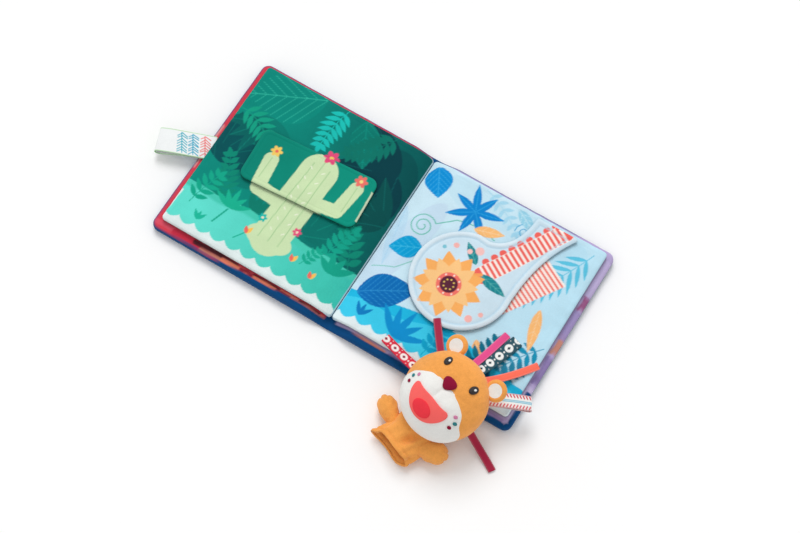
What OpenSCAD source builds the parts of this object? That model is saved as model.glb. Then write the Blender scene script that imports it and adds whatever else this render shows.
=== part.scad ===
// Cloth book for a baby: two padded covers hinged on a cloth spine, one padded
// leaf sewn in on each side, a lift flap on each leaf, a folded ribbon closing
// tab, and the plush finger puppet that belongs to it, lying on the open page.
//
// The book lies open on its back. The origin is on the resting surface under
// the middle of the spine, X runs across both pages, Y runs away from the
// reader and Z is up. Millimetres.

/* [Covers] */
// Width of one cover, from the spine strip to its free edge
cover_w = 194; // [120:1:280]
// Height of the covers, from the near edge to the far edge
cover_h = 204; // [120:1:280]
// Thickness of a padded cover
cover_t = 10.5; // [6:0.5:20]
// Radius of the covers' corners
cover_corner = 8; // [6:1:30]
// Thickness of a cover where it is sewn flat beside the spine
margin_t = 4; // [2.5:0.5:6]
// Width of that flat margin
margin_w = 20; // [8:1:24]

/* [Spine] */
// Width of the cloth strip between the covers
spine_w = 8; // [6:1:20]
// Clearance between the left cover and the strip that it turns on
spine_gap = 0.3; // [0.2:0.1:1]
// Height of the fold line that the left half turns about
fold_z = 23.5; // [20:0.5:40]

/* [Leaves] */
// Width of a leaf, from the gutter to its free edge
leaf_w = 190; // [120:1:270]
// Height of a leaf
leaf_h = 189; // [120:1:270]
// Thickness of a padded leaf
leaf_t = 7.5; // [3:0.5:12]
// Radius of the leaves' corners
leaf_corner = 4; // [3:1:20]
// Thickness of a leaf where it dips down and is sewn at the gutter
gutter_t = 7; // [3:0.5:9]
// Half the gap between the two leaves at the gutter
gutter_gap = 0.5; // [0.3:0.1:2]

/* [Left flap] */
// Width of the left lift flap
left_flap_w = 124; // [60:1:170]
// Height of the left lift flap
left_flap_h = 57; // [30:1:120]
// Centre of the left lift flap across the page, from the gutter
left_flap_x = -91; // [-120:1:-60]
// Centre of the left lift flap up the page
left_flap_y = 12; // [-40:1:40]
// Turn of the left lift flap on the page, in degrees
left_flap_turn = 4; // [-10:1:10]
// Thickness of the left lift flap
left_flap_t = 3; // [1.5:0.5:6]

/* [Right flap] */
// Radius of the round head of the right lift flap
disc_r = 50; // [30:1:70]
// Centre of the round head across the page, from the gutter
disc_x = 87; // [60:1:130]
// Centre of the round head up the page
disc_y = -2; // [-40:1:40]
// Thickness of the right lift flap
right_flap_t = 4; // [2:0.5:8]
// Width of the flap's neck where it is sewn to the far edge
neck_w = 44; // [20:1:60]
// Middle of the neck at the far edge, across the page
neck_x = 138; // [100:1:165]

/* [Closing tab] */
// Width of the ribbon of the closing tab
tab_w = 26; // [10:1:50]
// Length of the loop outside the cover
tab_l = 47; // [20:1:90]
// Thickness of the ribbon
tab_t = 1; // [0.6:0.1:3]
// Height inside the loop at its fold
tab_rise = 5; // [3:0.5:12]
// Where the tab leaves the left cover, up the page
tab_y = -7; // [-60:1:60]
// Turn of the tab towards the reader, in degrees
tab_turn = 20; // [-30:1:30]

/* [Puppet] */
// Width of the plush head
head_w = 84; // [50:1:110]
// Height of the head from chin to crown
head_h = 82; // [50:1:110]
// Depth of the head from face to back
head_d = 50; // [30:1:70]
// Middle of the head across the page
head_x = 135.5; // [100:0.5:160]
// How far the middle of the head lies off the near edge of the leaf
head_off = 17.5; // [0:0.5:35]
// Height of the middle of the head above the floor
head_z = 39; // [30:0.5:60]
// Turn of the puppet on the floor, in degrees
head_turn = -20; // [-45:1:45]
// Lift of the crown, which lies on the page, above the chin, in degrees
head_lift = 25; // [0:1:45]
// Width of the sleeve that the finger goes in
body_w = 46; // [30:1:70]
// Length of the sleeve
body_l = 40; // [25:1:60]
// Bore of the sleeve
finger_d = 22; // [14:1:30]
// Depth of the bore from the hem
finger_l = 28; // [15:1:38]
// Diameter of an ear
ear_d = 20; // [12:1:36]
// Angle of an ear from the crown, in degrees
ear_turn = 36; // [20:1:60]
// Radius of a paw
paw_r = 9.5; // [6:0.5:12]
// How far a paw reaches out of the sleeve's side
paw_l = 13; // [6:1:25]

/* [Face] */
// Width of the off-white muzzle
muzzle_w = 70; // [40:1:74]
// How far the muzzle stands proud of the head
muzzle_t = 4; // [2:0.5:8]
// Width of the open mouth
mouth_w = 40; // [20:1:50]
// Width of the tongue
tongue_w = 19; // [8:1:30]
// Width of the nose
nose_w = 14; // [6:1:24]
// Diameter of an eye
eye_d = 7; // [4:0.5:12]
// Distance between the eyes
eye_spread = 36; // [20:1:50]
// Height of the eyes above the middle of the face
eye_up = 26; // [10:1:30]

/* [Mane] */
// Thickness of the mane ribbons
mane_t = 0.9; // [0.5:0.1:2]
// Width of the narrow plain ribbons
mane_w = 7.5; // [4:0.5:12]
// Width of the wide ribbon with dots
mane_wide = 12.5; // [6:0.5:20]
// Width of the ribbon that is folded into a loop
loop_w = 14; // [6:0.5:20]
// How far the ribbons reach from the middle of the head
mane_reach = 80; // [60:1:95]
// Clearance between the mane ribbons and what they lie on
mane_gap = 0.3; // [0.2:0.1:1]

/* [Hidden] */
$fn = 48;
leaf_seat = 0.2;
flap_seat = 0.2;
edge_steps = 4;
curve_steps = 8;

cover_edge = cover_t * 0.42;
leaf_edge = leaf_t * 0.4;
margin_edge = margin_t * 0.42;
cover_in = spine_w / 2;
cover_out = cover_in + cover_w;
pad_in = cover_in + margin_w;
leaf_z = cover_t + leaf_seat;
leaf_top = leaf_z + leaf_t;
gutter_z = margin_t + spine_gap;
gutter_edge = min(2, gutter_t * 0.4);
dip_w = pad_in;
flap_z = leaf_top + flap_seat;
sewn_y = leaf_h / 2 - 3.5;
flap_corner = 9;
head_y = -leaf_h / 2 - head_off;
sleeve_h = body_w * 0.58;
sleeve_seat = 0.2;
sleeve_start = 26;
muzzle_drop = 9;
mouth_t = 1.3;
felt_t = 1.1;
rim_w = 2.6;
rim_t = 0.8;
tab_root = leaf_w - tab_w / 4;
tab_flat = cover_out - tab_root;
tab_seat = 0.2;
head_cut = 0.5;
face_n = 36;

navy = [0.05, 0.25, 0.42];
ink = [0.03, 0.16, 0.3];
jungle = [0.04, 0.5, 0.45];
leaf_green = [0.3, 0.75, 0.55];
sky = [0.8, 0.92, 0.96];
ice = [0.76, 0.88, 0.94];
white = [0.95, 0.95, 0.93];
orange = [0.93, 0.58, 0.24];
cream = [0.92, 0.89, 0.84];
coral = [0.98, 0.42, 0.36];
tongue_red = [0.92, 0.2, 0.24];
crimson = [0.62, 0.07, 0.22];
pink = [0.88, 0.26, 0.52];
teal = [0.12, 0.36, 0.4];
dark = [0.1, 0.07, 0.08];

// Where each mane ribbon points, as an angle round the head on the page, how
// far its end reaches and how high it lies there, and how high it leaves the
// head. The page is at leaf_top.
page = leaf_top + mane_gap;
on_flap = page + flap_seat + right_flap_t;
ribbon_w = [mane_w, mane_w, mane_wide, mane_w, mane_w + 2, mane_w];
ribbon_turn = [126.5, 83, 73, 54, 162.5, -20];
ribbon_reach = [1.01, 1.1, 1.125, 1.16, 1.04, 0.9] * mane_reach;
ribbon_tip_z = [on_flap, page, page, page, page, 2];
ribbon_root = 36;
ribbon_root_z = [40, 46, 40, 45, 33, 24];
ribbon_colour = [crimson, pink, teal, coral, tongue_red, crimson];
loop_turn = 29;
loop_reach = mane_reach * 0.93;
loop_root = 34;
loop_z = page + 15;
loop_drop = 10;

// A disc with rounded rims, the corner that every padded piece is hulled from.
module soft_corner(r, t, edge) {
    arc = [for (i = [0:edge_steps]) let (a = 90 * i / edge_steps - 90)
        [r - edge + edge * cos(a), edge + edge * sin(a)]];
    top = [for (i = [0:edge_steps]) let (a = 90 * i / edge_steps)
        [r - edge + edge * cos(a), t - edge + edge * sin(a)]];
    rotate_extrude($fn = 24)
        polygon(concat([[0, 0]], arc, top, [[0, t]]));
}

// Two such discs at one x, near and far, for a piece h high.
module soft_end(x, h, r, t, edge, z) {
    for (side = [-1, 1])
        translate([x, side * (h / 2 - r), z])
            soft_corner(r, t, edge);
}

// A cover of the right half: full thickness, thinning to the flat margin.
module cover() {
    hull() {
        soft_end(pad_in + 2, cover_h, cover_edge + 1, cover_t, cover_edge, 0);
        soft_end(cover_out - cover_corner, cover_h, cover_corner, cover_t,
            cover_edge, 0);
    }
    hull() {
        soft_end(cover_in + 2, cover_h, 2, margin_t, margin_edge, 0);
        soft_end(pad_in, cover_h, 3, margin_t + 2, margin_edge, 0);
    }
}

// A leaf of the right half: flat, dipping to the gutter where it is sewn.
module leaf() {
    hull() {
        soft_end(dip_w, leaf_h, 3, leaf_t, leaf_edge, leaf_z);
        soft_end(leaf_w - leaf_corner, leaf_h, leaf_corner, leaf_t,
            leaf_edge, leaf_z);
    }
    hull() {
        soft_end(gutter_gap + 3, leaf_h, 3, gutter_t, gutter_edge, gutter_z);
        soft_end(dip_w, leaf_h, 3, leaf_t, leaf_edge, leaf_z);
    }
}

module rounded(w, h, r) {
    square([w - 2 * r, h], center = true);
    square([w, h - 2 * r], center = true);
    for (x = [-1, 1], y = [-1, 1])
        translate([x * (w / 2 - r), y * (h / 2 - r)])
            circle(r);
}

function curve(a, b, c) = [for (i = [0:curve_steps]) let (t = i / curve_steps)
    (1 - t) * (1 - t) * a + 2 * t * (1 - t) * b + t * t * c];

module spine_strip() {
    color(ink)
        hull()
            soft_end(0, cover_h, spine_w / 2, margin_t, margin_edge, 0);
}

module right_cover() {
    color(navy) translate([spine_gap, 0, 0]) cover();
}

module left_cover() {
    color(navy) mirror([1, 0, 0]) translate([spine_gap, 0, 0]) cover();
}

module right_leaf() {
    color(sky) leaf();
}

module left_leaf() {
    color(jungle) mirror([1, 0, 0]) leaf();
}

// The lift flap of the left page, a hemmed rectangle sewn along its far edge.
module left_flap() {
    color(leaf_green)
        translate([left_flap_x, left_flap_y, flap_z])
        rotate([0, 0, left_flap_turn]) {
            linear_extrude(left_flap_t - rim_t)
                rounded(left_flap_w, left_flap_h, flap_corner);
            linear_extrude(left_flap_t)
                difference() {
                    rounded(left_flap_w, left_flap_h, flap_corner);
                    rounded(left_flap_w - 2 * rim_w, left_flap_h - 2 * rim_w,
                        flap_corner - rim_w);
                }
        }
}

// The outline of the right page's flap: a round head and a neck that runs to
// the far edge of the page.
module head_and_neck(inset = 0) {
    far_right = [neck_x + neck_w / 2 - inset, sewn_y - inset];
    far_left = [neck_x - neck_w / 2 + inset, sewn_y - inset];
    right_side = curve([disc_x + disc_r * 0.98 - inset, disc_y + disc_r * 0.12],
        [disc_x + disc_r - inset, disc_y + disc_r * 1.12], far_right);
    left_side = curve(far_left,
        [disc_x + disc_r * 0.54 + inset, disc_y + disc_r * 1.04],
        [disc_x + disc_r * 0.06 + inset, disc_y + disc_r * 0.96 - inset]);
    translate([disc_x, disc_y]) circle(disc_r - inset, $fn = 72);
    polygon(concat([[disc_x, disc_y]], right_side, left_side));
}

module right_flap() {
    color(ice) translate([0, 0, flap_z]) {
        linear_extrude(right_flap_t - rim_t) head_and_neck();
        linear_extrude(right_flap_t)
            difference() {
                head_and_neck();
                head_and_neck(rim_w);
            }
    }
}

// A ribbon folded on itself: two layers that part towards the fold. It lies
// flat for a while, then drops by drop. The profile is drawn along X.
module folded_ribbon(l, w, t, rise, flat, drop) {
    fall = function (s) s < flat ? 0
        : -drop * pow((s - flat) / (l - flat), 1.5);
    part = function (s) rise / 2 * sin(90 * min(1, max(0, s - flat) / (l - flat)));
    steps = 14;
    inner_l = l - rise / 2 - t;
    at = [for (i = [0:steps]) inner_l * i / steps];
    mid = fall(inner_l);
    fold = function (r) [for (a = [-75:30:75])
        [inner_l + r * cos(a), mid + r * sin(a)]];
    outside = concat([for (s = at) [s, fall(s) - part(s) - t]],
        fold(rise / 2 + t), [for (i = [steps:-1:0])
        [at[i], fall(at[i]) + part(at[i]) + t]]);
    inside = concat([for (s = at) [s, fall(s) - part(s) - 0.05]],
        fold(rise / 2), [for (i = [steps:-1:0])
        [at[i], fall(at[i]) + part(at[i]) + 0.05]]);
    rotate([90, 0, 0])
        linear_extrude(w, center = true)
            difference() {
                polygon(outside);
                translate([t, 0]) intersection() {
                    polygon(inside);
                    translate([flat, -l]) square([l, 2 * l]);
                }
            }
}

// The closing tab comes out from under the edge of the left leaf.
module closing_tab() {
    color(white)
        difference() {
            translate([-tab_root, tab_y, cover_t + tab_t + tab_seat])
                rotate([0, 0, 180 + tab_turn])
                folded_ribbon(tab_l + tab_flat, tab_w, tab_t, tab_rise,
                    tab_flat + 4, 6);
            translate([-leaf_w - tab_seat, -leaf_h / 2, 0])
                cube([leaf_w, leaf_h, leaf_top]);
        }
}

// The puppet's own frame: X across the face, Y to the crown, Z out of the face.
module on_puppet() {
    translate([head_x, head_y, head_z])
        rotate([head_lift, 0, head_turn])
            children();
}

// The same place on the floor, turned but not lifted.
module on_floor() {
    translate([head_x, head_y, 0])
        rotate([0, 0, head_turn])
            children();
}

module head_form(grow = 0) {
    scale([head_w / 2 + grow, head_h / 2 + grow, head_d / 2 + grow])
        sphere(1, $fn = face_n);
}

// A piece sewn on the face: an outline pushed through a shell of the head.
module on_face(low, high) {
    on_puppet()
        intersection() {
            linear_extrude(head_d) children();
            difference() {
                head_form(high);
                head_form(low);
            }
        }
}

module puppet_head() {
    color(orange) on_puppet() head_form();
}

// Off-white cheeks and chin under the nose.
module puppet_muzzle() {
    color(cream)
        on_face(0.1, muzzle_t)
            translate([0, -muzzle_drop]) scale([1, 0.86])
                circle(muzzle_w / 2, $fn = 32);
}

// An open smile: a circle cut off straight a little above its middle.
module smile(w) {
    intersection() {
        circle(w / 2, $fn = 36);
        translate([0, -w * 0.35]) square([w, w], center = true);
    }
}

module puppet_mouth() {
    color(coral)
        on_face(muzzle_t + 0.1, muzzle_t + mouth_t)
            translate([0, -muzzle_drop]) smile(mouth_w);
}

module puppet_tongue() {
    low = muzzle_t + mouth_t + 0.1;
    color(tongue_red)
        on_face(low, low + felt_t)
            translate([0, -muzzle_drop - mouth_w * 0.22]) scale([1, 0.66])
                circle(tongue_w / 2, $fn = 24);
}

module puppet_nose() {
    color(crimson)
        on_face(muzzle_t + 0.1, muzzle_t * 2)
            translate([0, nose_w]) scale([1, 0.7])
                circle(nose_w / 2, $fn = 24);
}

module puppet_eye(side) {
    color(dark)
        on_face(0.1, 2 * felt_t)
            translate([side * eye_spread / 2, eye_up])
                circle(eye_d / 2, $fn = 20);
}

module puppet_eye_left() {
    puppet_eye(-1);
}

module puppet_eye_right() {
    puppet_eye(1);
}

// A rounded ear that stands out of the head's rim, clear of the head.
module puppet_ear(side) {
    out = ear_d / 4;
    color(orange)
        on_puppet()
            difference() {
                hull()
                    translate([side * (head_w / 2 + out) * sin(ear_turn),
                        (head_h / 2 + out) * cos(ear_turn), -2])
                    scale([ear_d / 2, ear_d / 2, ear_d / 5])
                        sphere(1, $fn = 24);
                hull() head_form(head_cut);
            }
}

module puppet_ear_left() {
    puppet_ear(-1);
}

module puppet_ear_right() {
    puppet_ear(1);
}

// Places the sleeve's axis on the floor, with +Z towards the hem.
module along_sleeve() {
    on_floor()
        translate([0, -sleeve_start, sleeve_h / 2 + sleeve_seat])
        rotate([90, 0, 0])
            children();
}

module sleeve_form(grow = 0) {
    hull()
        scale([body_w / 2 + grow, sleeve_h / 2 + grow, 1])
        cylinder(h = body_l, r = 1, $fn = 32);
}

// The finger sleeve: a soft tube on the floor, open at its hem.
module puppet_sleeve() {
    color(orange)
        difference() {
            along_sleeve()
                difference() {
                    sleeve_form();
                    translate([0, 0, body_l - finger_l])
                        cylinder(h = finger_l + 1, d = finger_d, $fn = 24);
                }
            on_puppet() hull() head_form(head_cut);
        }
}

// A rounded paw from inside the sleeve's side outwards, cut clear of it.
module puppet_paw(from, to, r) {
    color(orange)
        difference() {
            on_floor()
                hull()
                    for (at = [from, to])
                        translate([at.x, at.y, r + sleeve_seat])
                            sphere(r, $fn = 20);
            on_puppet() head_form(0.2);
            along_sleeve() sleeve_form(0.2);
        }
}

module puppet_paw_left() {
    shoulder = -body_w * 0.43;
    puppet_paw([shoulder, -body_w], [shoulder - paw_l, 4 - body_w],
        paw_r - 0.5);
}

module puppet_paw_right() {
    shoulder = body_w * 0.39;
    puppet_paw([shoulder, 6 - body_w], [shoulder + paw_l, 13 - body_w],
        paw_r + 0.5);
}

// Places a ribbon's free end and turns its +X back towards the head.
module at_reach(turn, reach, z) {
    translate([head_x + reach * cos(turn), head_y + reach * sin(turn), z])
        rotate([0, 0, turn + 180])
            children();
}

// A mane ribbon: flat on the page, rising in a smooth bend to the head.
module ribbon(i) {
    run = ribbon_reach[i] - ribbon_root;
    rise = ribbon_root_z[i] - ribbon_tip_z[i];
    line = [for (k = [0:curve_steps]) let (t = k / curve_steps)
        [t * run, rise * pow(t, 2.4)]];
    over = [for (k = [curve_steps:-1:0]) line[k] + [0, mane_t]];
    color(ribbon_colour[i])
        difference() {
            at_reach(ribbon_turn[i], ribbon_reach[i], ribbon_tip_z[i])
                rotate([90, 0, 0])
                linear_extrude(ribbon_w[i], center = true)
                    polygon(concat(line, over));
            on_puppet() head_form(mane_gap);
        }
}

module mane_crimson() {
    ribbon(0);
}

module mane_pink() {
    ribbon(1);
}

module mane_teal() {
    ribbon(2);
}

module mane_coral() {
    ribbon(3);
}

module mane_red() {
    ribbon(4);
}

module mane_low() {
    ribbon(5);
}

// The one mane ribbon that is folded into a loop.
module mane_loop() {
    color(white)
        difference() {
            at_reach(loop_turn, loop_root, loop_z)
                rotate([0, 0, 180])
                    folded_ribbon(loop_reach - loop_root, loop_w, mane_t, 4, 8,
                        loop_drop);
            on_puppet() head_form(mane_gap);
        }
}

spine_strip();
right_cover();
right_leaf();
right_flap();
left_cover();
left_leaf();
left_flap();
closing_tab();
puppet_head();
puppet_muzzle();
puppet_mouth();
puppet_tongue();
puppet_nose();
puppet_eye_left();
puppet_eye_right();
puppet_ear_left();
puppet_ear_right();
puppet_sleeve();
puppet_paw_left();
puppet_paw_right();
mane_crimson();
mane_pink();
mane_teal();
mane_coral();
mane_red();
mane_low();
mane_loop();
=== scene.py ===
# %% [markdown]
# This notebook dresses a padded cloth book for a baby. It lies open on its back:
# one soft cover bent along the spine, a printed leaf sewn in on each side, a lift
# flap on each leaf, a ribbon closing tab, and a plush finger puppet that rests on
# the open page. The hard facts, such as sizes and places, come from the frame,
# and the cloth is built around them.

# %% The frame and its size
import math

import bpy
import numpy as np
from mathutils import Matrix, Vector
from mathutils.kdtree import KDTree


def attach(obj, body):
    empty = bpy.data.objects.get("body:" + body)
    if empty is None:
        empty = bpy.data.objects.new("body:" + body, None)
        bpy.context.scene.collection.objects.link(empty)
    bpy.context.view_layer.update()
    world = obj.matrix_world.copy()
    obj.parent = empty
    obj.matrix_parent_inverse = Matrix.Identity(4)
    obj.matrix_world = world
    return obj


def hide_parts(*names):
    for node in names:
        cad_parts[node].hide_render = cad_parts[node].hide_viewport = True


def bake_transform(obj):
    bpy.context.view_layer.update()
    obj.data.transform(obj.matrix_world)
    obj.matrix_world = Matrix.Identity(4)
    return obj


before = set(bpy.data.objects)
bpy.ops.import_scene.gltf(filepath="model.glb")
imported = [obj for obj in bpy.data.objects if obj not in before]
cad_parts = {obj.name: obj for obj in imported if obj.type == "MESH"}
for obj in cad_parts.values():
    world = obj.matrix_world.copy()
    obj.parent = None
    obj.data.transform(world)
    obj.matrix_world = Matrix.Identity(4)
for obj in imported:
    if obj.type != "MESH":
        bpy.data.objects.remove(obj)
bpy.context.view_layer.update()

# %% [markdown]
# The camera comes first, so that every later step can be judged through it. The
# photograph was taken from above with a long lens, which keeps the two pages
# nearly parallel. A camera is placed by the angle it looks from, and not by
# trial: turn, lift and distance from one point on the table.

# %% The camera
def look_from(turn, lift, distance, target, lens):
    a, e = math.radians(turn), math.radians(lift)
    back = Vector((math.sin(a) * math.cos(e), -math.cos(a) * math.cos(e),
                   math.sin(e)))
    bpy.ops.object.camera_add(location=Vector(target) + back * distance)
    camera = bpy.context.object
    camera.rotation_euler = back.to_track_quat("Z", "Y").to_euler()
    camera.data.lens = lens
    camera.data.sensor_width = 36
    bpy.context.scene.camera = camera
    return camera


camera = look_from(31.48, 67.86, 1.894, (0.0262, -0.0126, 0.0), 90)
print("the camera stands at", [round(v, 3) for v in camera.location])

# %% [markdown]
# Soft studio light: a bright surround fills every shadow a little, and one wide
# lamp beyond the far left corner gives the pages their direction and throws a
# soft shadow towards the reader. The two together give a level at which a colour
# comes out about as it is written.

# %% Light and floor
bpy.context.scene.view_settings.view_transform = "Standard"
world = bpy.data.worlds.new("Studio")
bpy.context.scene.world = world
world.use_nodes = True
sky, links = world.node_tree.nodes, world.node_tree.links
path = sky.new("ShaderNodeLightPath")
level = sky.new("ShaderNodeMapRange")
level.inputs["To Min"].default_value = 0.68
level.inputs["To Max"].default_value = 1.0
links.new(path.outputs["Is Camera Ray"], level.inputs["Value"])
links.new(level.outputs["Result"], sky["Background"].inputs["Strength"])
sky["Background"].inputs["Color"].default_value = (1, 1, 1, 1)

bpy.ops.object.light_add(type="SUN", location=(-0.6, 0.9, 1.2))
lamp = bpy.context.object
lamp.data.energy = 1.35
lamp.data.angle = math.radians(32)
towards_lamp = Vector((-0.42, 0.62, 1.0))
lamp.rotation_euler = towards_lamp.to_track_quat("Z", "Y").to_euler()

bpy.ops.mesh.primitive_plane_add(size=12, location=(0, 0, -0.0004))
floor = bpy.context.object
floor.name = "floor"
paper = bpy.data.materials.new("Pale table")
paper.use_nodes = True
surface = paper.node_tree.nodes["Principled BSDF"].inputs
surface["Base Color"].default_value = (0.985, 0.985, 0.985, 1)
surface["Roughness"].default_value = 0.9
surface["Specular IOR Level"].default_value = 0.1
floor.data.materials.append(paper)
print("one lamp, one surround, one floor")

# %% [markdown]
# A few small tools that every piece needs. Blender's operators act on whatever is
# selected, so everything is deselected first, and a piece is measured after each
# step. Lengths are written in millimetres here, because cloth is cut that way.

# %% Small tools
MM = 0.001


def alone(piece):
    """Select this piece and nothing else."""
    if bpy.context.mode != "OBJECT":
        bpy.ops.object.mode_set(mode="OBJECT")
    bpy.ops.object.select_all(action="DESELECT")
    bpy.context.view_layer.objects.active = piece
    piece.select_set(True)


def read(piece):
    """The piece's points in millimetres."""
    at = np.zeros(len(piece.data.vertices) * 3)
    piece.data.vertices.foreach_get("co", at)
    return at.reshape(-1, 3) / MM


def write(piece, points):
    piece.data.vertices.foreach_set("co", (np.asarray(points) * MM).ravel())
    piece.data.update()


def smooth(a, b, x):
    t = np.clip((x - a) / (b - a), 0, 1)
    return t * t * (3 - 2 * t)


def bell(x, at, width):
    """A smooth hump of height 1 where x comes near at."""
    return np.exp(-((x - at) / width) ** 2)


def waves(x, y, seed, length, count=14):
    """Slow, seeded waves between about -1 and 1, for cloth that isn't quite flat."""
    dice = np.random.default_rng(seed)
    total = np.zeros_like(x, float)
    for _ in range(count):
        turn, phase = dice.uniform(0, 2 * math.pi, 2)
        k = 2 * math.pi / (length * dice.uniform(0.7, 1.6))
        total += np.sin(k * (x * math.cos(turn) + y * math.sin(turn)) + phase)
    return total / math.sqrt(count) / 1.4


def say(piece):
    at = read(piece)
    print(piece.name, len(piece.data.polygons), "faces,",
          np.round(at.max(0) - at.min(0), 1), "mm")


def dress(piece, material, body=None, nodes=()):
    """Material, smooth shading, and the piece's place in the frame."""
    piece.data.materials.clear()
    piece.data.materials.append(material)
    alone(piece)
    bpy.ops.object.shade_smooth()
    if body:
        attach(piece, body)
    if nodes:
        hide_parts(*nodes)
    say(piece)


print("tools ready")

# %% [markdown]
# Almost everything here is a padded shape cut from an outline: a cover, a leaf, a
# flap, a felt patch. So outlines come first. They are closed rings of points, and
# two questions are asked of them: is a point inside, and how deep inside is it?

# %% Outlines
def rounded(x0, x1, y0, y1, r, turn=0.0, about=(0, 0), n=10):
    """A rectangle with round corners, anticlockwise."""
    corners = [(x1 - r, y1 - r, 0), (x0 + r, y1 - r, 90), (x0 + r, y0 + r, 180),
               (x1 - r, y0 + r, 270)]
    line = [(cx + r * math.cos(math.radians(a + 90 * i / n)),
             cy + r * math.sin(math.radians(a + 90 * i / n)))
            for cx, cy, a in corners for i in range(n + 1)]
    line = np.array(line)
    c, s = math.cos(math.radians(turn)), math.sin(math.radians(turn))
    line = line - about
    return line @ np.array([[c, s], [-s, c]]) + about


def dense(line, step):
    """The closed outline again, with a point every step."""
    closed = np.vstack([line, line[:1]])
    run = np.r_[0, np.cumsum(np.linalg.norm(np.diff(closed, axis=0), axis=1))]
    at = np.linspace(0, run[-1], max(12, int(run[-1] / step)), endpoint=False)
    return np.c_[np.interp(at, run, closed[:, 0]), np.interp(at, run, closed[:, 1])]


def inside(line, x, y):
    """Which points lie inside the outline, by the even-odd rule."""
    hit = np.zeros(len(x), bool)
    for (ax, ay), (bx, by) in zip(line, np.roll(line, -1, axis=0)):
        if ay == by:
            continue
        cross = (ay > y) != (by > y)
        hit ^= cross & (x < (bx - ax) * (y - ay) / (by - ay) + ax)
    return hit


def far_from(points, x, y):
    """How far each x, y lies from a line through the points."""
    best = np.full(len(x), 1e9)
    for (ax, ay), (bx, by) in zip(points[:-1], points[1:]):
        dx, dy = bx - ax, by - ay
        t = ((x - ax) * dx + (y - ay) * dy) / max(dx * dx + dy * dy, 1e-9)
        t = np.clip(t, 0, 1)
        best = np.minimum(best, (x - ax - t * dx) ** 2 + (y - ay - t * dy) ** 2)
    return np.sqrt(best)


def depth_in(line, x, y):
    """How far each x, y lies from the closed outline."""
    return far_from(np.vstack([line, line[:1]]), x, y)


def nearest(line, points):
    """For each point, which point of the outline is nearest."""
    return np.array([((line - p) ** 2).sum(1).argmin() for p in points])


print("a round-cornered card has", len(rounded(-10, 10, -6, 6, 4)), "points")

# %% [markdown]
# By hand, a pad starts as cloth cut to the outline. Here that is a grid primitive
# whose outer cells are deleted. The rim is a staircase then, so it is walked
# round, pulled onto the outline and spaced evenly, and the cells beside it are
# relaxed so that none is left folded.

# %% A grid cut to the outline
def cut_grid(name, line, step):
    """A grid without the cells whose middle lies outside the outline, or nearly."""
    lo, hi = line.min(0), line.max(0)
    cells = np.maximum(2, np.round((hi - lo) / step)).astype(int)
    bpy.ops.mesh.primitive_grid_add(
        x_subdivisions=int(cells[0]), y_subdivisions=int(cells[1]), size=1)
    piece = bpy.context.object
    piece.name = name
    alone(piece)
    at = read(piece) * MM
    at[:, :2] = at[:, :2] / np.abs(at[:, :2]).max(0) / 2 * (hi - lo) + (lo + hi) / 2
    at[:, 2] = 0
    write(piece, at)
    pitch = ((hi - lo) / cells).min()
    middle = np.array([f.center[:2] for f in piece.data.polygons]) / MM
    keep = inside(line, middle[:, 0], middle[:, 1])
    near = depth_in(line, middle[:, 0], middle[:, 1]) < 0.45 * pitch
    gone = ~keep | near
    piece.data.polygons.foreach_set("select", gone)
    bpy.ops.object.mode_set(mode="EDIT")
    bpy.ops.mesh.select_mode(type="FACE")
    bpy.ops.object.mode_set(mode="OBJECT")
    piece.data.polygons.foreach_set("select", gone)
    bpy.ops.object.mode_set(mode="EDIT")
    bpy.ops.mesh.delete(type="FACE")
    bpy.ops.object.mode_set(mode="OBJECT")
    return piece


def rim_of(mesh):
    """The points of the open rim in order, and the two ends of every edge."""
    of_loop = np.zeros(len(mesh.loops), int)
    mesh.loops.foreach_get("edge_index", of_loop)
    uses = np.bincount(of_loop, minlength=len(mesh.edges))
    ends = np.zeros(len(mesh.edges) * 2, int)
    mesh.edges.foreach_get("vertices", ends)
    ends = ends.reshape(-1, 2)
    beside = {}
    for a, b in ends[uses == 1]:
        beside.setdefault(a, []).append(b)
        beside.setdefault(b, []).append(a)
    start = next(iter(beside))
    loop, before = [start], None
    while True:
        ahead = [v for v in beside[loop[-1]] if v != before]
        before = loop[-1]
        if ahead[0] == start or len(loop) > len(beside):
            break
        loop.append(ahead[0])
    return np.array(loop), ends


def evened(spot, whole, rounds=60):
    """Even out places along a ring of whole steps."""
    for _ in range(rounds):
        after, prior = np.roll(spot, -1), np.roll(spot, 1)
        after[-1] += whole
        prior[0] -= whole
        spot = 0.5 * spot + 0.25 * (after + prior)
    return spot


def pull_rim(piece, line, step):
    loop, ends = rim_of(piece.data)
    at = read(piece)
    fine = dense(line, step * 0.25)
    spot = nearest(fine, at[loop, :2]).astype(float)
    jump = np.diff(np.r_[spot, spot[0]])
    jump = (jump + len(fine) / 2) % len(fine) - len(fine) / 2
    whole = round(jump.sum() / len(fine)) * len(fine)
    spot = evened(spot[0] + np.r_[0, np.cumsum(jump)[:-1]], whole) % len(fine)
    low = spot.astype(int)
    part = (spot - low)[:, None]
    at[loop, :2] = (fine[low % len(fine)] * (1 - part)
                    + fine[(low + 1) % len(fine)] * part)
    move = depth_in(dense(line, step * 4), at[:, 0], at[:, 1]) < 4 * step
    move[loop] = False
    a, b = ends.T
    degree = np.bincount(np.r_[a, b], minlength=len(at))[:, None]
    for _ in range(12):
        total = np.zeros((len(at), 2))
        np.add.at(total, a, at[b, :2])
        np.add.at(total, b, at[a, :2])
        at[move, :2] = (total / degree)[move]
    write(piece, at)


print("grids can be cut")

# %% [markdown]
# Solidify then lays a second layer under the first, and the upright wall between
# them is subdivided into rings, so that the edge can be rounded. The underside is
# as fine as the top, so it bends where the top bends. Each point keeps its place
# on the flat pattern: x and y, its depth from the outline, which way is out at
# the rim, and q, which runs from 0 on the top to 1 on the underside.

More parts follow.
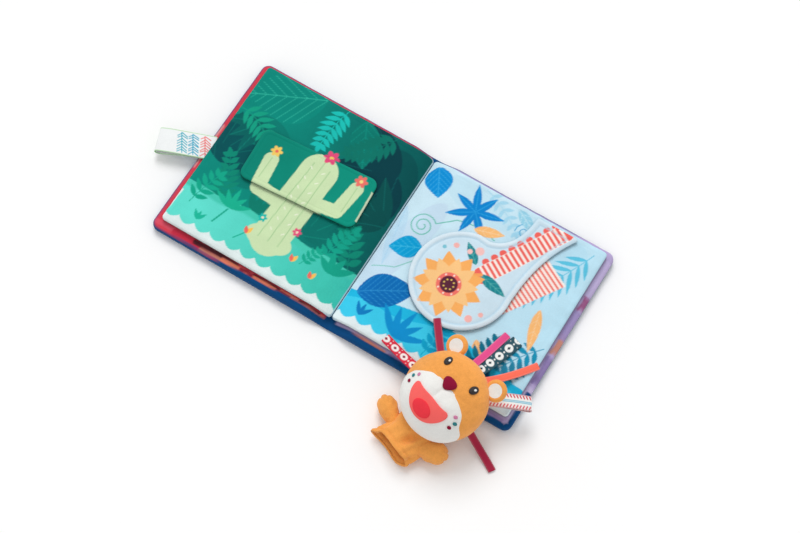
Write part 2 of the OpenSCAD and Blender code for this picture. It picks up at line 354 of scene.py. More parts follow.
# %% A blank with two layers
def add_layer(piece, rings):
    wall = piece.modifiers.new("Two layers", "SOLIDIFY")
    wall.thickness, wall.offset = rings * MM, -1
    alone(piece)
    bpy.ops.object.modifier_apply(modifier=wall.name)
    mesh = piece.data
    height = read(piece)[:, 2]
    ends = np.array([e.vertices[:] for e in mesh.edges])
    upright = np.abs(height[ends[:, 0]] - height[ends[:, 1]]) > 0.5 * rings
    mesh.vertices.foreach_set("select", np.zeros(len(mesh.vertices), bool))
    mesh.polygons.foreach_set("select", np.zeros(len(mesh.polygons), bool))
    mesh.edges.foreach_set("select", upright)
    bpy.ops.object.mode_set(mode="EDIT")
    bpy.ops.mesh.select_mode(type="EDGE")
    bpy.ops.mesh.subdivide(number_cuts=rings - 1)
    bpy.ops.mesh.select_all(action="SELECT")
    bpy.ops.mesh.normals_make_consistent(inside=False)
    bpy.ops.object.mode_set(mode="OBJECT")


class Blank:
    """A piece cut from an outline, and each point's place on the flat pattern."""

    def __init__(self, name, line, step, rings):
        line = np.asarray(line, float)
        self.piece = cut_grid(name, line, step)
        pull_rim(self.piece, line, step)
        add_layer(self.piece, rings)
        self.x, self.y, height = read(self.piece).T.copy()
        self.q = np.clip(-height / rings, 0, 1)
        fine = dense(line, step * 0.25)
        self.deep = depth_in(dense(line, 1.0), self.x, self.y)
        close = self.deep < 0.6 * step
        self.deep[close] = depth_in(fine, self.x[close], self.y[close])
        self.deep[self.deep < 0.02] = 0
        ahead = np.roll(fine, -1, axis=0) - np.roll(fine, 1, axis=0)
        ahead /= np.linalg.norm(ahead, axis=1)[:, None]
        edge = np.flatnonzero(self.deep == 0)
        place = nearest(fine, np.c_[self.x, self.y][edge])
        self.out = np.zeros((len(height), 2))
        self.out[edge, 0], self.out[edge, 1] = ahead[place, 1], -ahead[place, 0]

    def swollen(self, swell, height):
        """The points with this height, and the rim moved out by swell."""
        swell = swell * (self.deep == 0)
        return np.c_[self.x + self.out[:, 0] * swell,
                     self.y + self.out[:, 1] * swell, height]


trial = Blank("trial", rounded(-10, 10, -6, 6, 4), 1.0, 7)
say(trial.piece)
bpy.data.objects.remove(trial.piece)

# %% [markdown]
# Two ways to fill a blank. The first is drawn: a top, a bottom and sides that
# swell. The second is simulated, as cloth with air inside. The simulated shell is
# coarse, so the fine piece only follows its movement and keeps its own seams.

# %% Stuffing
def stuff(blank, top, bottom, bulge, seam=0.0):
    """Shape a blank: top and bottom heights, and sides that swell out by bulge."""
    q = blank.q
    swell = bulge * np.sin(math.pi * q) - seam * bell(q, 0.5, 0.09)
    middle, half = (top + bottom) / 2, (top - bottom) / 2
    write(blank.piece, blank.swollen(swell, middle + half * np.cos(math.pi * q)))
    return blank.piece


def puff(piece, voxel, cap, spread=1.0):
    """Blow a piece up a little, with no point moved further than cap. spread is
    the share of the sideways movement that a flat pad may take."""
    pressure, frames = 4.0, 20
    alone(piece)
    bpy.ops.object.duplicate()
    shell = bpy.context.object
    alone(shell)
    coarse = shell.modifiers.new("Coarse", "REMESH")
    coarse.mode, coarse.voxel_size = "VOXEL", voxel * MM
    bpy.ops.object.modifier_apply(modifier=coarse.name)
    before = read(shell)
    air = shell.modifiers.new("Air", "CLOTH")
    air.settings.quality = 5
    air.settings.use_pressure = True
    air.settings.uniform_pressure_force = pressure
    air.settings.effector_weights.gravity = 0
    air.collision_settings.use_self_collision = False
    air.point_cache.frame_start, air.point_cache.frame_end = 1, frames
    for frame_now in range(1, frames + 1):
        bpy.context.scene.frame_set(frame_now)
    bpy.ops.object.modifier_apply(modifier=air.name)
    move = read(shell) - before
    far_moved = np.linalg.norm(move, axis=1)
    move *= np.minimum(1, cap / np.maximum(far_moved, 1e-6))[:, None]
    move[:, :2] *= spread
    # top and bottom lie close together, so points are looked up along their normals
    look = voxel * 1.5
    tree = KDTree(len(before))
    for i, (p, v) in enumerate(zip(before, shell.data.vertices)):
        tree.insert(Vector(p) + v.normal * look, i)
    tree.balance()
    bpy.data.objects.remove(shell)
    bpy.context.scene.frame_set(1)
    at = read(piece)
    rests_at = at[:, 2].min()
    for i, v in enumerate(piece.data.vertices):
        near = tree.find_n(Vector(at[i]) + v.normal * look, 4)
        weight = np.array([1 / (0.3 + d) ** 2 for _, _, d in near])
        at[i] += weight @ move[[k for _, k, _ in near]] / weight.sum()
    at[:, 2] = np.maximum(at[:, 2], rests_at)
    write(piece, at)
    print(piece.name, "puffed: the shell has", len(before), "points and moved",
          round(float(far_moved.mean()), 2), "mm before the cap")


print("the simulation is", "on")

# %% [markdown]
# The print on real cloth is ink in flat fields: no light, no relief. It could be
# an image, but this book draws its own. Each shape is a rule, such as a leaf, a
# stroke or a disc, laid over the last one, and the result is kept as a colour on
# each point of the fine grid, which the cloth's material then reads.

# %% Ink: colours and shapes
def ink(code):
    """A web colour as linear light."""
    c = np.array([int(code[i:i + 2], 16) for i in (1, 3, 5)]) / 255
    return np.where(c <= 0.04045, c / 12.92, ((c + 0.055) / 1.055) ** 2.4)


class Print:
    """Colours for a set of points on the flat pattern, painted shape by shape."""

    def __init__(self, x, y, ground, blur=0.55):
        self.x, self.y, self.blur = np.asarray(x, float), np.asarray(y, float), blur
        self.rgb = np.tile(ink(ground), (len(self.x), 1))

    def tint(self, share, colour):
        """Mix a colour into the print, by a share for each point."""
        share = share[:, None]
        self.rgb = self.rgb * (1 - share) + ink(colour) * share

    def lay(self, gap, colour, share=1.0):
        """Paint where gap, a distance inside the shape, is positive."""
        self.tint(np.clip(0.5 + gap / self.blur, 0, 1) * share, colour)

    def turned(self, x, y, turn):
        c, s = math.cos(math.radians(turn)), math.sin(math.radians(turn))
        dx, dy = self.x - x, self.y - y
        return dx * c + dy * s, dy * c - dx * s

    def oval(self, x, y, rx, ry, turn, colour, share=1.0):
        u, v = self.turned(x, y, turn)
        r = np.hypot(u / rx, v / ry)
        self.lay((1 - r) * min(rx, ry), colour, share)

    def disc(self, x, y, r, colour, share=1.0):
        self.oval(x, y, r, r, 0, colour, share)

    def leaf(self, x, y, turn, length, width, colour, rib=None, veins=0, share=1.0):
        """A pointed leaf from its stalk, with a rib and veins in another ink."""
        u, v = self.turned(x, y, turn)
        t = np.clip(u / length, 0, 1)
        half = width / 2 * np.sin(math.pi * t ** 0.8) ** 0.9
        gap = np.where((u > 0) & (u < length), half - np.abs(v), -9)
        self.lay(gap, colour, share)
        if rib:
            self.lay(np.minimum(gap, 0.35 - np.abs(v)), rib, share)
            if veins:
                comb = (u - 1.1 * np.abs(v)) / length * veins
                near = np.abs(comb - np.round(comb)) * length / veins
                self.lay(np.minimum(gap - 0.5, 0.28 - near * 0.67), rib, share * 0.8)

    def stroke(self, points, width, colour, share=1.0):
        """A line of one width through the points, with round ends."""
        self.lay(width / 2 - far_from(points, self.x, self.y), colour, share)

    def frond(self, x, y, turn, length, pairs, size, wide, colour, bend=0.0,
              open_by=58, share=1.0):
        """A fern: a bending stem with pairs of small leaves."""
        heading, step, line = turn, length / (pairs + 1), [(x, y)]
        for i in range(pairs + 1):
            x += step * math.cos(math.radians(heading))
            y += step * math.sin(math.radians(heading))
            heading += bend / (pairs + 1)
            line.append((x, y))
            if i < pairs:
                s = size * (1 - 0.55 * i / pairs) * (0.75 + 0.25 * min(1, i / 2))
                for side in (-1, 1):
                    self.leaf(x, y, heading + side * open_by, s, wide, colour,
                              share=share)
        self.leaf(*line[-2], heading, size * 0.6, wide, colour, share=share)
        self.stroke(line, 0.8, colour, share)

    def fan(self, x, y, turns, length, width, colour, rib=None):
        for i, turn in enumerate(turns):
            self.leaf(x, y, turn, length * (1 - 0.12 * (i % 2)), width, colour, rib)

    def curl(self, x, y, r, turns, width, colour, start, way=1):
        """A spiral tendril that winds in to x, y."""
        line = []
        for i in range(int(26 * turns) + 1):
            t = i / (26 * turns)
            a = math.radians(start) + way * t * turns * 2 * math.pi
            line.append((x + r * (1 - t * 0.85) * math.cos(a),
                         y + r * (1 - t * 0.85) * math.sin(a)))
        self.stroke(line, width, colour)

    def save(self, piece):
        """Keep the colours on the piece's points."""
        kept = piece.data.color_attributes.new("Print", "FLOAT_COLOR", "POINT")
        rgba = np.c_[self.rgb, np.ones(len(self.rgb))].astype(np.float32)
        kept.data.foreach_set("color", rgba.ravel())


def mixed(a, b, t):
    """One colour fading to another over the points."""
    return ink(a) * (1 - t[:, None]) + ink(b) * t[:, None]


print("ink ready, for example", np.round(ink("#5fe0cf"), 2))

# %% [markdown]
# Cloth is told from plastic by its surface. Printed cotton has a fine plain
# weave, plush has a pile that is brushed light in one place and dark in the next,
# ribbon has ribs across. Each effect is a node group that gives a height and a
# tone, so every material of that cloth shares it. They read the piece's own
# object coordinates.

# %% Surface groups
def group(name):
    """A surface group: a place goes in, a height and a tone come out."""
    tree = bpy.data.node_groups.new(name, "ShaderNodeTree")
    for label, way, kind in (("Vector", "INPUT", "NodeSocketVector"),
                             ("Height", "OUTPUT", "NodeSocketFloat"),
                             ("Tone", "OUTPUT", "NodeSocketFloat")):
        tree.interface.new_socket(name=label, in_out=way, socket_type=kind)
    return tree, tree.nodes.new("NodeGroupInput"), tree.nodes.new("NodeGroupOutput")


def math_node(tree, job, a, b=None):
    node = tree.nodes.new("ShaderNodeMath")
    node.operation = job
    for slot_in, value in zip(node.inputs, (a, b)):
        if value is None:
            continue
        if isinstance(value, (int, float)):
            slot_in.default_value = value
        else:
            tree.links.new(value, slot_in)
    return node.outputs[0]


def summed(tree, *terms):
    """Outputs added up, each times its weight."""
    parts = [math_node(tree, "MULTIPLY", value, weight) for value, weight in terms]
    total = parts[0]
    for part in parts[1:]:
        total = math_node(tree, "ADD", total, part)
    return total


def noise(tree, vector, scale, detail=2.0):
    node = tree.nodes.new("ShaderNodeTexNoise")
    node.inputs["Scale"].default_value = scale
    node.inputs["Detail"].default_value = detail
    tree.links.new(vector, node.inputs["Vector"])
    return node.outputs["Fac"]


weave, into, out = group("Plain weave")
split = weave.nodes.new("ShaderNodeSeparateXYZ")
weave.links.new(into.outputs["Vector"], split.inputs[0])
THREADS = 2 * math.pi / (1.1 * MM)
over = [math_node(weave, "SINE", math_node(weave, "MULTIPLY", axis, THREADS))
        for axis in split.outputs]
cross = math_node(weave, "MULTIPLY", over[0], over[1])
slub = noise(weave, into.outputs["Vector"], 900.0)
cloudy = noise(weave, into.outputs["Vector"], 45.0, 3.0)
weave.links.new(summed(weave, (cross, 1.0), (over[2], 0.5), (slub, 1.4)),
                out.inputs["Height"])
weave.links.new(summed(weave, (cloudy, 0.6), (slub, 0.4)), out.inputs["Tone"])

pile, into, out = group("Plush pile")
tufts = noise(pile, into.outputs["Vector"], 1100.0, 4.0)
locks = noise(pile, into.outputs["Vector"], 330.0, 3.0)
brushed = noise(pile, into.outputs["Vector"], 70.0, 2.0)
pile.links.new(summed(pile, (tufts, 1.0), (locks, 1.5)), out.inputs["Height"])
pile.links.new(summed(pile, (tufts, 0.45), (locks, 0.3), (brushed, 0.4)),
               out.inputs["Tone"])
print("groups:", [g.name for g in bpy.data.node_groups])

# %% [markdown]
# A material then needs three choices: where its colour comes from, a print or one
# dye, which surface group it uses, and how far the tone moves the colour. Sheen
# and roughness are plain numbers on the shader, the same all over.

# %% Cloth materials
def cloth(name, surface, colour=None, bump=0.25, deep=0.0002, shade=0.16,
          rough=0.9, sheen=0.03, shine=0.1):
    made = bpy.data.materials.new(name)
    made.use_nodes = True
    tree = made.node_tree
    shader = tree.nodes["Principled BSDF"]
    place = tree.nodes.new("ShaderNodeTexCoord")
    skin = tree.nodes.new("ShaderNodeGroup")
    skin.node_tree = surface
    tree.links.new(place.outputs["Object"], skin.inputs["Vector"])
    blend = tree.nodes.new("ShaderNodeMix")
    blend.data_type, blend.blend_type = "RGBA", "MULTIPLY"
    blend.inputs["Factor"].default_value = 1.0
    base, tint, result = blend.inputs[6], blend.inputs[7], blend.outputs[2]
    if colour is None:
        printed = tree.nodes.new("ShaderNodeAttribute")
        printed.attribute_name = "Print"
        tree.links.new(printed.outputs["Color"], base)
    else:
        base.default_value = (*ink(colour), 1)
    ramp = tree.nodes.new("ShaderNodeMapRange")
    for socket, value in (("From Min", 0.3), ("From Max", 0.75),
                          ("To Min", 1 - shade), ("To Max", 1 + shade * 0.35)):
        ramp.inputs[socket].default_value = value
    tree.links.new(skin.outputs["Tone"], ramp.inputs["Value"])
    tree.links.new(ramp.outputs["Result"], tint)
    tree.links.new(result, shader.inputs["Base Color"])
    lift = tree.nodes.new("ShaderNodeBump")
    lift.inputs["Strength"].default_value = bump
    lift.inputs["Distance"].default_value = deep
    tree.links.new(skin.outputs["Height"], lift.inputs["Height"])
    tree.links.new(lift.outputs["Normal"], shader.inputs["Normal"])
    shader.inputs["Roughness"].default_value = rough
    shader.inputs["Sheen Weight"].default_value = sheen
    shader.inputs["Specular IOR Level"].default_value = shine
    return made


printed_cotton = cloth("Printed cotton", weave, shade=0.1)
orange_plush = cloth("Orange plush", pile, "#f8a854", bump=0.6, deep=0.0007,
                     shade=0.22, sheen=0.2, rough=0.95, shine=0.05)
cream_plush = cloth("Off-white plush", pile, "#efeeea", bump=0.5, deep=0.0005,
                    shade=0.1, sheen=0.1, rough=0.95, shine=0.05)
printed_ribbon = cloth("Woven ribbon", weave, shade=0.08, rough=0.6, sheen=0.05,
                       shine=0.25)
coral_felt = cloth("Coral felt", pile, "#ff6a66", bump=0.3, deep=0.0003, shade=0.08)
red_felt = cloth("Red felt", pile, "#f43c48", bump=0.3, deep=0.0003, shade=0.08)
crimson_felt = cloth("Crimson felt", pile, "#8c1236", bump=0.3, deep=0.0003, shade=0.1)
dark_thread = cloth("Dark thread", weave, "#1d1416", bump=0.4, deep=0.0003,
                    shade=0.2, rough=0.4, shine=0.5)
pink_thread = cloth("Pink thread", weave, "#d983ab", bump=0.4, rough=0.5, shine=0.3)
teal_thread = cloth("Teal thread", weave, "#1f7f86", bump=0.4, rough=0.5, shine=0.3)
print("materials:", len(bpy.data.materials))

# %% [markdown]
# The cover is one soft piece on the real book: an outer navy cloth and a printed
# lining, sewn together round the edge over two thin foam pads, with a flat bend
# of bare cloth between them for the spine. It is modelled as one blank, thin
# along the spine. The seam runs round it at half its thickness: lining above,
# navy below.


def cover_print(flat):
    art = Print(flat.x, flat.y, "#dd4354", blur=1.2)
    art.rgb[flat.x > 0] = ink("#b9a9d4")
    near_edge = -97.5
    # the lining's own print shows as patches of other colours beside the leaf; the
    # three darkest strokes, close under the leaf's edge, are partly the lining's dark
    # print and partly painted shadow of the leaf
    for x0, x1, dy, wide, tone in (
            (-196, -172, 1, 5, "#e5566a"), (-172, -146, 0, 7, "#d2334a"),
            (-150, -104, 1.8, 5, "#4a262c"), (-142, -100, -1.6, 2.6, "#c98470"),
            (-118, -68, -0.6, 5, "#f08468"), (-98, -86, 0.8, 3.4, "#93243c"),
            (-76, -2, 0.6, 4.5, "#f08468"), (-84, -56, 2.8, 1.8, "#3e1c26"),
            (-58, -44, 0.8, 2.2, "#8a2a40"), (-34, -12, 2.9, 1.6, "#4f2530"),
            (4, 22, -0.5, 3, "#d7cde9"), (26, 60, 0.8, 3.5, "#e58a6a"),
            (66, 96, 0, 4.5, "#8d79b4"), (104, 140, 0.5, 5, "#ccbfe2"),
            (150, 186, 0, 4.5, "#9a87bd")):
        art.stroke([(x0, near_edge + dy), (0.5 * (x0 + x1), near_edge + dy + 0.8),
                    (x1, near_edge + dy)], wide, tone, 0.95)
    for y0, y1, wide, tone in ((-90, -58, 6, "#cdbfe3"), (-50, -22, 4, "#8f7cb2"),
                               (-16, 4, 3.5, "#d08a6e"), (2, 30, 6, "#a493c6"),
                               (34, 50, 3, "#9c4f7e"), (52, 88, 6, "#c4b5dd")):
        art.stroke([(192.5, y0), (194, 0.5 * (y0 + y1)), (192.5, y1)], wide, tone, 0.9)
    for y0, y1, tone in ((-80, -40, "#d9475a"), (-30, 20, "#e9a1a0"),
                         (40, 80, "#d23e50")):
        art.stroke([(-195.5, y0), (-195, y1)], 3, tone, 0.8)
    # navy cloth: the whole side, and on the near side a roll over the edge
    side = flat.y < -60
    reach = np.where(flat.x < 0, 0.3 + 5.0 * smooth(-165, 5, flat.x),
                     5.3 - 3.2 * smooth(0, 150, flat.x)) + 0.4 * np.sin(flat.x / 9)
    roll = np.clip((reach - flat.deep) / 1.0, 0, 1) * side
    right_side = smooth(150, 185, flat.x) * (flat.y > -85)
    around = np.clip((flat.q - 0.1 - 0.35 * right_side) * 12, 0, 1)
    bend = np.clip((7 - np.abs(flat.x)) / 2, 0, 1)
    art.tint(np.maximum.reduce([roll, around, bend]), "#0b4a80")
    return art


flat = Blank("book_cover", rounded(-194.8, 194.2, -100.4, 97.8, 5), 1.45, 7)
far = np.abs(flat.x)
SPINE_THICK, PAD_THICK = 3.6, 10.5
thick = SPINE_THICK + (PAD_THICK - SPINE_THICK) * smooth(2, 27, far)
crown = (1.2 * np.exp(-flat.deep / 6) + 0.22 * (1 + waves(flat.x, flat.y, 2, 60))) * (
    0.4 + 0.6 * smooth(0, 30, far))
sway = 0.3 * waves(flat.x, flat.y, 4, 16) * np.exp(-flat.deep / 5)
book_cover = stuff(flat, thick - crown + sway, np.zeros_like(thick), 3.0, seam=0.5)
puff(book_cover, 5.0, 0.35, spread=0.1)
cover_print(flat).save(book_cover)
dress(book_cover, printed_cotton, nodes=("right_cover", "left_cover", "spine_strip"))
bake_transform(book_cover)

# %% [markdown]
# Each leaf is a printed cloth pad that is sewn down along the gutter, so it lies
# flat over most of the page and dips in the last two centimetres. The left page
# is a jungle above a mint ground with a scalloped white border. The plant in the
# middle crosses the lift flap, so one function prints both.

# %% The left print
def jungle(flat, on_flap=False):
    x, y = flat.x, flat.y
    art = Print(x, y, "#0a8f78")
    art.rgb = mixed("#088a7c", "#045d5b", smooth(-150, 20, x + 0.25 * y))
    if on_flap:
        art.rgb = mixed("#078674", "#0a937e", smooth(-150, -30, x))
    else:
        # far plants, close to the ground colour, then nearer and stronger ones
        art.oval(-150, 10, 34, 40, 20, "#07766c", 0.7)
        art.oval(-30, 40, 30, 46, -10, "#044e50", 0.75)
        art.fan(-20, 58, (140, 168, 196, 224, 252, 280), 66, 24, "#053f48", "#0b5a5c")
        art.fan(-6, 8, (118, 148, 176, 205), 50, 17, "#06504f", "#0d6a66")
        art.fan(-182, -14, (14, 40, 66, 92, 118), 62, 17, "#045358", "#0b6d68")
        art.fan(-160, 40, (200, 232, 262, 294), 40, 13, "#066460", "#0d7f74")
        art.fan(-64, -40, (55, 85, 115, 22, 150), 40, 14, "#07736a", "#0e8a7a")
        art.leaf(-120, 93, 205, 80, 58, "#078b7d", "#34bfa4", veins=8)
        art.frond(-96, 95, -104, 52, 7, 19, 5.0, "#1bc2b8", bend=18)
        art.leaf(-76, 94, -64, 52, 30, "#067a6e", "#0d9483", veins=6)
        art.frond(-40, 94, -118, 56, 8, 20, 6, "#0a7668", bend=-30)
        art.frond(-188, 44, -6, 56, 7, 20, 5, "#12a083", bend=-52)
        art.frond(-150, -56, 100, 60, 8, 17, 5.5, "#0b8a74", bend=26)
        art.frond(-10, -50, 110, 70, 8, 19, 6.5, "#0b8a74", bend=30)
        art.frond(-36, -52, 84, 48, 6, 16, 5.5, "#10a088", bend=-24)
        art.fan(-118, -46, (60, 90, 120), 26, 7, "#0a7d6c")
    # ground: mint over a white border, its near edge in scallops
    hill = -45 + 1.6 * np.sin(x / 21) + 0.9 * np.sin(x / 7.3)
    art.lay(hill - y, "#47ccb5")
    inner = np.clip((hill - 5 - y) / 3, 0, 1)[:, None]
    mint = mixed("#63e2d2", "#3fc7b4", smooth(-180, 0, x))
    art.rgb = art.rgb * (1 - inner) + mint * inner
    scallop = -82.4 - 5.0 * np.abs(np.sin(math.pi * (x + 6) / 17.0)) ** 0.8
    art.lay(scallop - y, "#e4f1f0")
    art.lay(np.where(y < -58, -187.6 - x + 0.06 * (y + 58), -9), "#e4f1f0")
    if not on_flap:
        art.frond(-176, -66, 80, 44, 5, 18, 5, "#12a98b", bend=-16)
        art.fan(-140, -52, (26, 56, 90, 124, 154), 22, 5.5, "#19b391")
        art.stroke([(-146, -72), (-140, -54)], 1.6, "#17a98c")
        art.fan(-22, -60, (40, 75, 110, 145), 24, 7, "#14a389")
        art.frond(-52, -66, 66, 26, 4, 11, 3.6, "#17ab8f")
        art.fan(-160, -78, (55, 90, 125), 11, 3.6, "#1fb99b")
        art.stroke([(-120, -76), (-112, -64)], 1.2, "#1cb395")
    plant(art)
    return art


def plant(art):
    """A pale round cactus in flower, from the ground up over the flap."""
    skin, rib = "#cfe6b6", "#a9cf98"
    art.stroke([(-104, -22), (-128, -20), (-132, 10)], 15, skin)
    art.stroke([(-72, -8), (-50, -4), (-46, 26)], 14, skin)
    art.stroke([(-90, -58), (-86, 22)], 38, skin)
    art.oval(-90, -60, 24, 13, 0, skin)
    for shift in (-11, 0, 11):
        art.stroke([(-90 + shift, -62), (-86 + shift * 0.8, 34 - abs(shift) * 0.5)],
                   0.9, rib)
    art.stroke([(-132, -12), (-132, 12)], 0.8, rib)
    art.stroke([(-46, -2), (-46, 27)], 0.8, rib)
    for i in range(7):
        spine_y = -50 + 12 * i
        for side in (-1, 1):
            art.stroke([(-88 + side * 5.5, spine_y), (-88 + side * 7.5, spine_y + 2)],
                       0.9, "#f4f7e2")
    for cx, cy, r, petal, eye in ((-84, 42, 7.5, "#e8507f", "#f9d66b"),
                                  (-132, 20, 5.5, "#f7cf66", "#ef6f63"),
                                  (-46, 35, 6, "#f2756c", "#fbe08a"),
                                  (-71, -40, 4.2, "#e8507f", "#f6e6c8"),
                                  (-107, -44, 4.2, "#1fbcae", "#f6e6c8")):
        for k in range(6):
            a = math.radians(60 * k + 12)
            art.oval(cx + 0.55 * r * math.cos(a), cy + 0.55 * r * math.sin(a), r * 0.55,
                     r * 0.34, 60 * k + 12, petal)
        art.disc(cx, cy, r * 0.3, eye)
    for cx, cy in ((-60, -68), (-112, -66), (-36, -74)):
        art.leaf(cx, cy, 70, 9, 4, "#ffc65c")
        art.leaf(cx, cy, 115, 8, 4, "#ef6f63")


print("the left page has its rules")

# %% [markdown]
# The right page is cooler: pale blue with leaves in stronger blues, green
# tendrils, and a turquoise ground. Its lift flap is a round head on a neck, with
# a large apricot flower whose stalk is striped cloth tape with a row of dots.

# %% The right print
def garden(flat):
    x, y = flat.x, flat.y
    art = Print(x, y, "#d3ecf6")
    art.rgb = mixed("#cdeaf7", "#bde4f5", smooth(20, 190, x - 0.4 * y))
    art.oval(60, 76, 40, 16, -10, "#bfe3f2", 0.6)
    art.oval(20, 0, 16, 60, -14, "#c3d9f0", 0.5)
    art.oval(150, 66, 30, 22, 30, "#b4dff2", 0.5)
    art.leaf(2, 40, -80, 66, 15, "#b3d9f1", "#9fd0ee", share=0.6)
    art.frond(60, 92, -20, 60, 6, 13, 4, "#a3d8ef", bend=-24, share=0.9)
    art.curl(26, 28, 13, 2.1, 1.0, "#58bda7", start=40)
    art.stroke([(36, 36), (52, 50), (72, 54), (92, 50)], 1.0, "#58bda7")
    art.stroke([(6, -30), (26, -22), (40, -4), (44, 14)], 0.9, "#7cc8ba")
    art.curl(112, 72, 9, 1.6, 0.9, "#3fa7d6", start=200, way=-1)
    art.fan(62, 66, (12, 62, 112, 162, 212, 262, 312), 29, 8, "#0a86d2", "#2fa6e4")
    art.leaf(8, 90, -62, 34, 27, "#078fd8", "#3fb2ea", veins=6)
    art.leaf(38, 8, 205, 32, 23, "#069fd6", "#3fbfe8", veins=5)
    art.leaf(8, -60, 30, 56, 34, "#0a6cb6", "#2f93d2", veins=9)
    art.leaf(96, 90, -30, 30, 11, "#9ad4ea", "#c8e9f4", veins=5)
    art.frond(180, 86, -112, 100, 10, 28, 4.4, "#5ec4e2", bend=-18, open_by=46)
    art.frond(186, -20, -132, 62, 7, 19, 5, "#1b93b8", bend=24)
    art.frond(150, -86, 64, 52, 6, 17, 5, "#2a86a8", bend=-28)
    # striped cloth behind the flap, and apricot leaves round it
    u, v = art.turned(143, 22, 62)
    field = np.minimum(34 - np.abs(u), 12 - np.abs(v) + 0.1 * u)
    art.lay(field, "#fdf1ea")
    comb = np.abs((u / 4.4) - np.round(u / 4.4)) * 4.4
    art.lay(np.minimum(field, 1.0 - comb), "#f4766a")
    for cx, cy, turn, l, w in ((164, 12, -76, 44, 11), (70, 50, 18, 30, 11),
                               (38, -66, -14, 30, 10), (128, -44, -58, 24, 9)):
        art.leaf(cx, cy, turn, l, w, "#fbbd78", "#fdd3a2", veins=4)
    # ground
    hill = -52 - 7 * np.cos(x / 30) - 0.03 * x
    art.lay(hill - y, "#1fb9e4")
    art.lay(hill - 9 - y + 3 * np.sin(x / 12), "#3cccee")
    scallop = -82.4 - 5.0 * np.abs(np.sin(math.pi * (x - 3) / 17.0)) ** 0.8
    art.lay(scallop - y, "#e4f1f4")
    art.leaf(8, -60, 30, 56, 34, "#0a6cb6", "#2f93d2", veins=9)
    art.fan(60, -82, (20, 48, 76, 104, 132), 34, 7, "#0e8fd0")
    art.fan(22, -80, (50, 85, 120), 15, 4, "#0f7cc0")
    art.frond(92, -84, 78, 44, 5, 15, 5.5, "#0fa3cf")
    art.frond(126, -90, 66, 64, 7, 19, 5.5, "#13738f", bend=10)
    art.fan(150, -60, (200, 228, 256, 284), 36, 9, "#0b5a80", "#137aa0")
    return art


def flower(flat):
    art = Print(flat.x, flat.y, "#cfe6f3")
    # the striped stalk runs up the neck, with dots along one side
    line = [(101, 12), (113, 32), (125.5, 54), (146, 90)]
    best = np.full(len(flat.x), 1e9)
    along = np.zeros(len(flat.x))
    run = 0.0
    for (ax, ay), (bx, by) in zip(line[:-1], line[1:]):
        l = math.hypot(bx - ax, by - ay)
        ux, uy = (bx - ax) / l, (by - ay) / l
        t = (flat.x - ax) * ux + (flat.y - ay) * uy
        c = np.clip(t, 0, l)
        d = np.hypot(flat.x - ax - c * ux, flat.y - ay - c * uy)
        along = np.where(d < best, run + c, along)
        best = np.minimum(best, d)
        for k in range(int(run / 9.5) + 1, int((run + l) / 9.5) + 1):
            t = k * 9.5 - run
            art.disc(ax + ux * t - uy * 10.4, ay + uy * t + ux * 10.4, 3.5, "#f4685f")
        run += l
    art.lay(9.0 - best, "#fdf3ec")
    comb = np.abs(along / 5.0 - np.round(along / 5.0)) * 5.0
    art.lay(np.minimum(8.6 - best, 1.3 - comb), "#f4685f")
    cx, cy = 79, -12
    art.leaf(cx + 20, cy + 24, -14, 32, 11, "#1f8792", "#58b3b0", veins=5)
    art.leaf(cx + 12, cy + 30, 138, 25, 9, "#1f8792", "#58b3b0", veins=5)
    art.stroke([(cx, cy), (cx + 14, cy + 20), (100, 12)], 3.2, "#f9a25e")
    for ring, length, wide, tone in ((0, 34, 18, "#fbb163"), (20, 28, 14, "#fdc988")):
        for k in range(9):
            art.leaf(cx, cy, 40 * k + ring, length, wide, tone)
    art.disc(cx, cy, 12, "#f4756a")
    art.disc(cx, cy, 8.5, "#5d2a3c")
    for k in range(8):
        a = math.radians(45 * k)
        art.disc(cx + 10.2 * math.cos(a), cy + 10.2 * math.sin(a), 0.9, "#fdeee0")
        art.disc(cx + 5 * math.cos(a), cy + 5 * math.sin(a), 0.8, "#f9d66b")
    for dx, dy, r, tone in ((33, -20, 3.6, "#f8b6b0"), (41, -11, 2.4, "#f8b6b0"),
                            (-14, 38, 2.8, "#f8b6b0"), (-23, 31, 2, "#7fc6d8"),
                            (8, 44, 4.2, "#f9c6c2"), (0, 39, 2.6, "#f9c6c2")):
        art.disc(cx + dx, cy + dy, r, tone)
    return art


print("the right page has its rules")

# %% [markdown]
# Now the two leaves themselves. They are the same pad, mirrored: a thin stuffed
# leaf with a crisp seamed edge, lying on the lining and dipping into the gutter.
# Small puckers run in from the seam, where the thread draws the cloth together.

# %% The leaves
GUTTER_TOP, GUTTER_BED, LEAF_RISE = 11.0, 4.6, 6.6


def page(side, seed):
    name = "left_page" if side < 0 else "right_page"
    near, far_x = sorted((side * 1.4, side * 188.8))
    flat = Blank(name, rounded(near, far_x, -92.5, 94.1, 2.2), 0.92, 7)
    a = np.abs(flat.x)
    rise = np.sin(np.clip((a - 0.6) / 25, 0, 1) * math.pi / 2) ** 0.9
    outer = smooth(4, 30, a)
    seamed = np.exp(-flat.deep / 2.6) * (0.3 + 0.7 * outer)
    pucker = waves(flat.x, flat.y, seed, 10) * np.exp(-flat.deep / 7)
    quilt = bell(flat.deep, 5.0, 0.8) * outer
    top = GUTTER_TOP + LEAF_RISE * rise - 0.8 * seamed + 0.4 * pucker - 0.22 * quilt
    top += 0.26 * waves(flat.x, flat.y, seed + 1, 75) - 0.28 * np.abs(
        waves(flat.x, flat.y, seed + 2, 30)) * (1 - seamed)
    stuff(flat, top, GUTTER_BED + LEAF_RISE * rise, 1.2, seam=0.4)
    puff(flat.piece, 4.0, 0.55, spread=0.1)
    return flat


